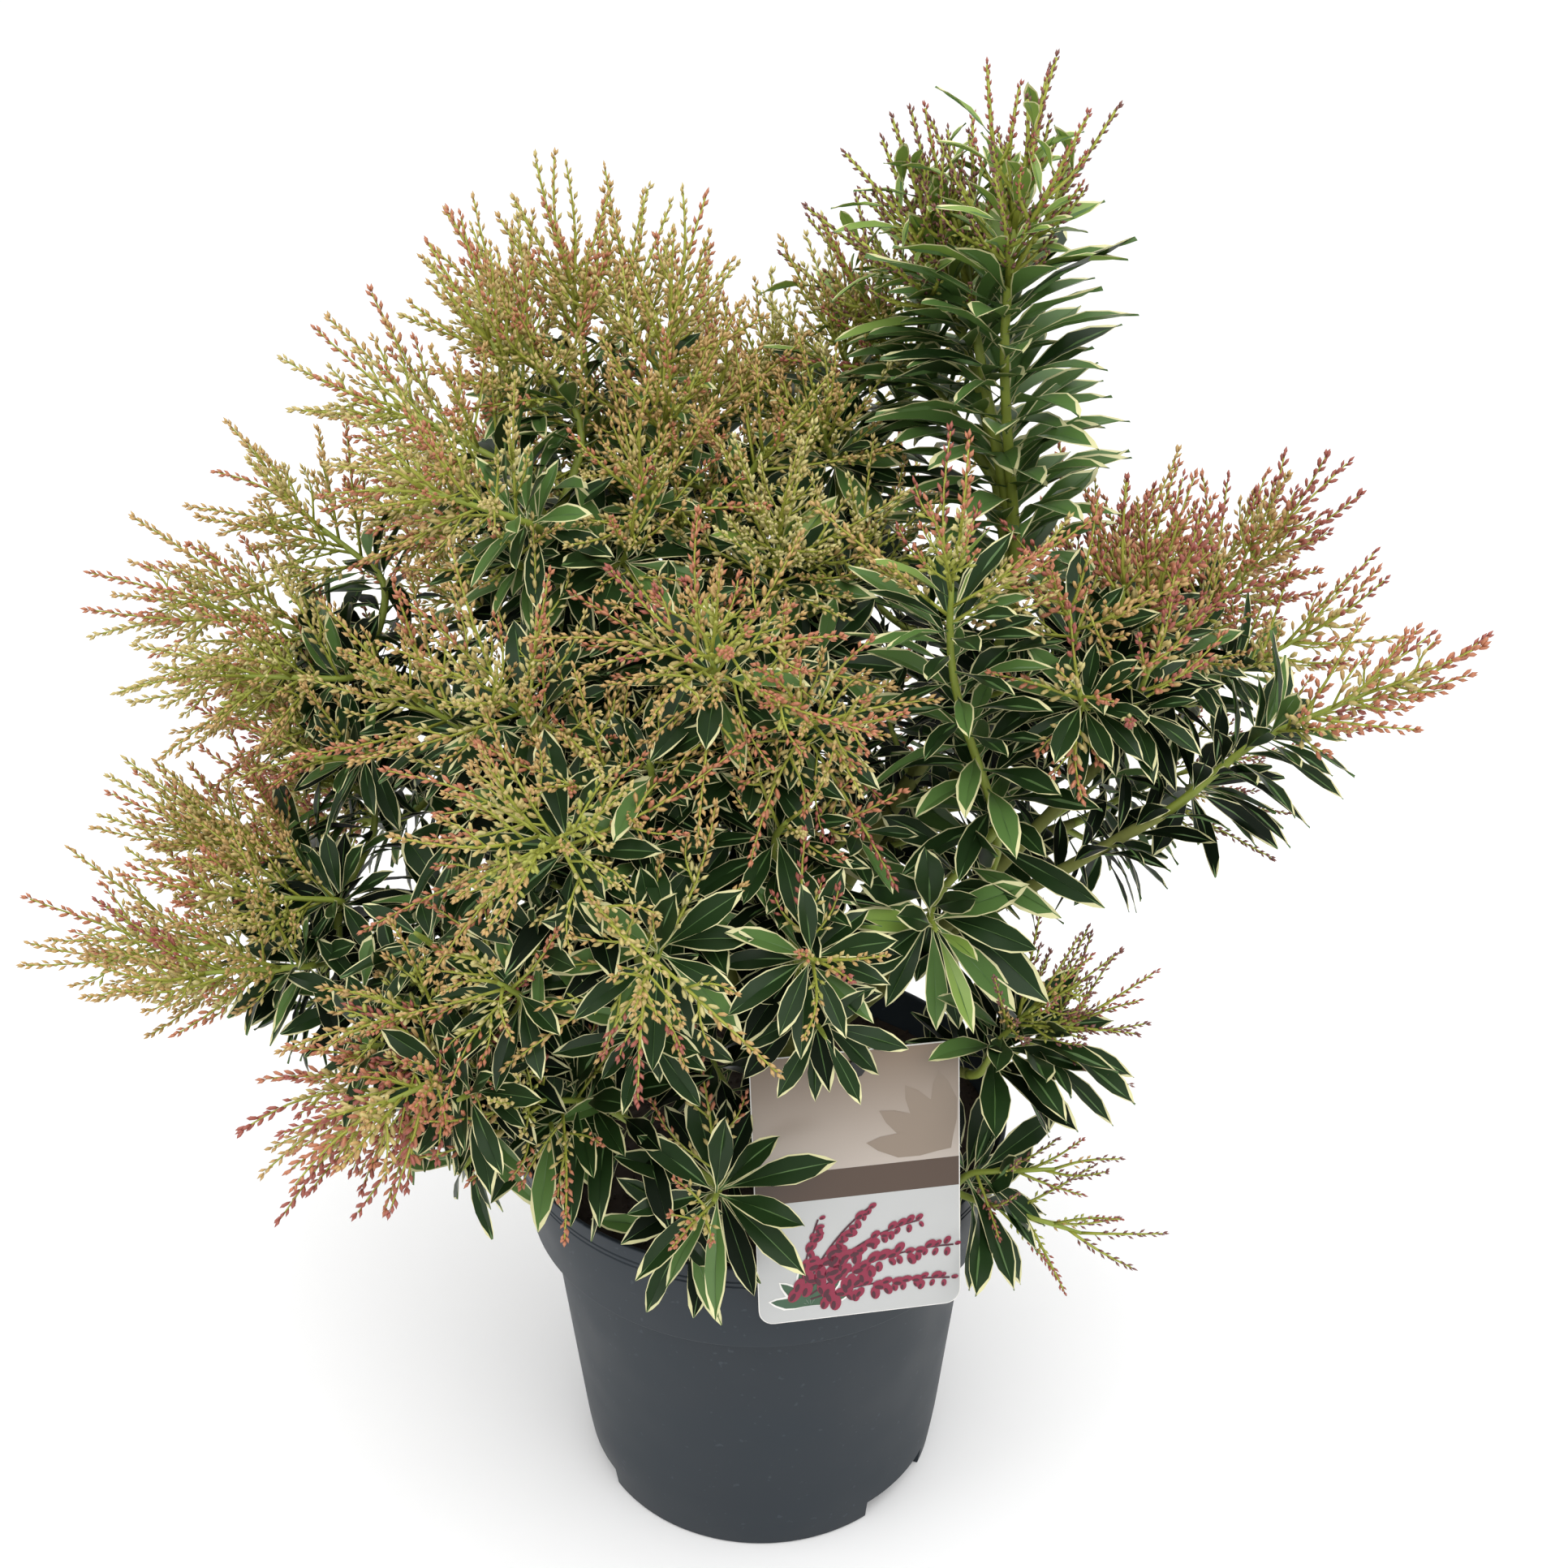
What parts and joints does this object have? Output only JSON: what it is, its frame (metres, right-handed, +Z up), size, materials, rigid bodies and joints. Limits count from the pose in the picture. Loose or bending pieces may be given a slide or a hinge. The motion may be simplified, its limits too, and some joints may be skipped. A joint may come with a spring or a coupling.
{
  "type": "potted shrub",
  "caption": "Variegated pieris shrub in a round nursery pot: short forked trunk, boughs with masses of cream-edged leaves and blossom racemes, and a hanging label card.",
  "frame": {"origin": "middle of the pot's flat underside, on the ground", "axes": "+Z up; -Y is the front, where the label card hangs; +X is to the right when seen from the front"},
  "size_m": [0.6516, 0.5734, 0.8022],
  "materials": {
    "pot_plastic": "dark slate-grey moulded plastic, satin",
    "compost": "moist dark peat compost, rough",
    "label_card": "printed laminated card, soft gloss",
    "label_stake": "black plastic strip and button",
    "bark": "olive-green young bark, fine ridges",
    "foliage": "dark green leaves with cream margins, and rose, salmon and cream flower buds"
  },
  "bodies": {
    "root": {"pot": "pot_plastic", "soil": "compost", "label_card": "label_card", "label_stake": "label_stake", "trunk": "bark", "bough_tall": "bark", "bough_fork": "bark", "bough_right_middle": "bark", "bough_right_low": "bark", "bough_right_back": "bark", "bough_low_right": "bark", "bough_lowest_right": "bark", "bough_front_upper": "bark", "bough_front_centre": "bark", "bough_front_low": "bark", "bough_front_left": "bark", "bough_left_low": "bark", "bough_lower_left": "bark", "bough_upper_left": "bark", "bough_left_front": "bark", "bough_left_middle": "bark", "bough_top_left": "bark", "bough_back_left": "bark", "bough_back_left_low": "bark", "bough_back": "bark", "bough_back_low": "bark", "bough_back_top": "bark", "bough_back_right": "bark", "bough_back_right_low": "bark", "bough_top_centre": "bark", "bough_centre": "bark", "foliage_tall_shoots": "foliage", "foliage_front_right": "foliage", "foliage_right_middle": "foliage", "foliage_right_low": "foliage", "foliage_right_back": "foliage", "foliage_low_right": "foliage", "foliage_lowest_right": "foliage", "foliage_front_centre": "foliage", "foliage_front_low": "foliage", "foliage_front_upper": "foliage", "foliage_front_left": "foliage", "foliage_left_front": "foliage", "foliage_lower_left": "foliage", "foliage_left_low": "foliage", "foliage_left_middle": "foliage", "foliage_upper_left": "foliage", "foliage_top_left": "foliage", "foliage_top_centre": "foliage", "foliage_centre": "foliage", "foliage_back_top": "foliage", "foliage_back_right": "foliage", "foliage_back_right_low": "foliage", "foliage_back": "foliage", "foliage_back_low": "foliage", "foliage_back_left": "foliage", "foliage_back_left_low": "foliage"}
  },
  "joints": []
}
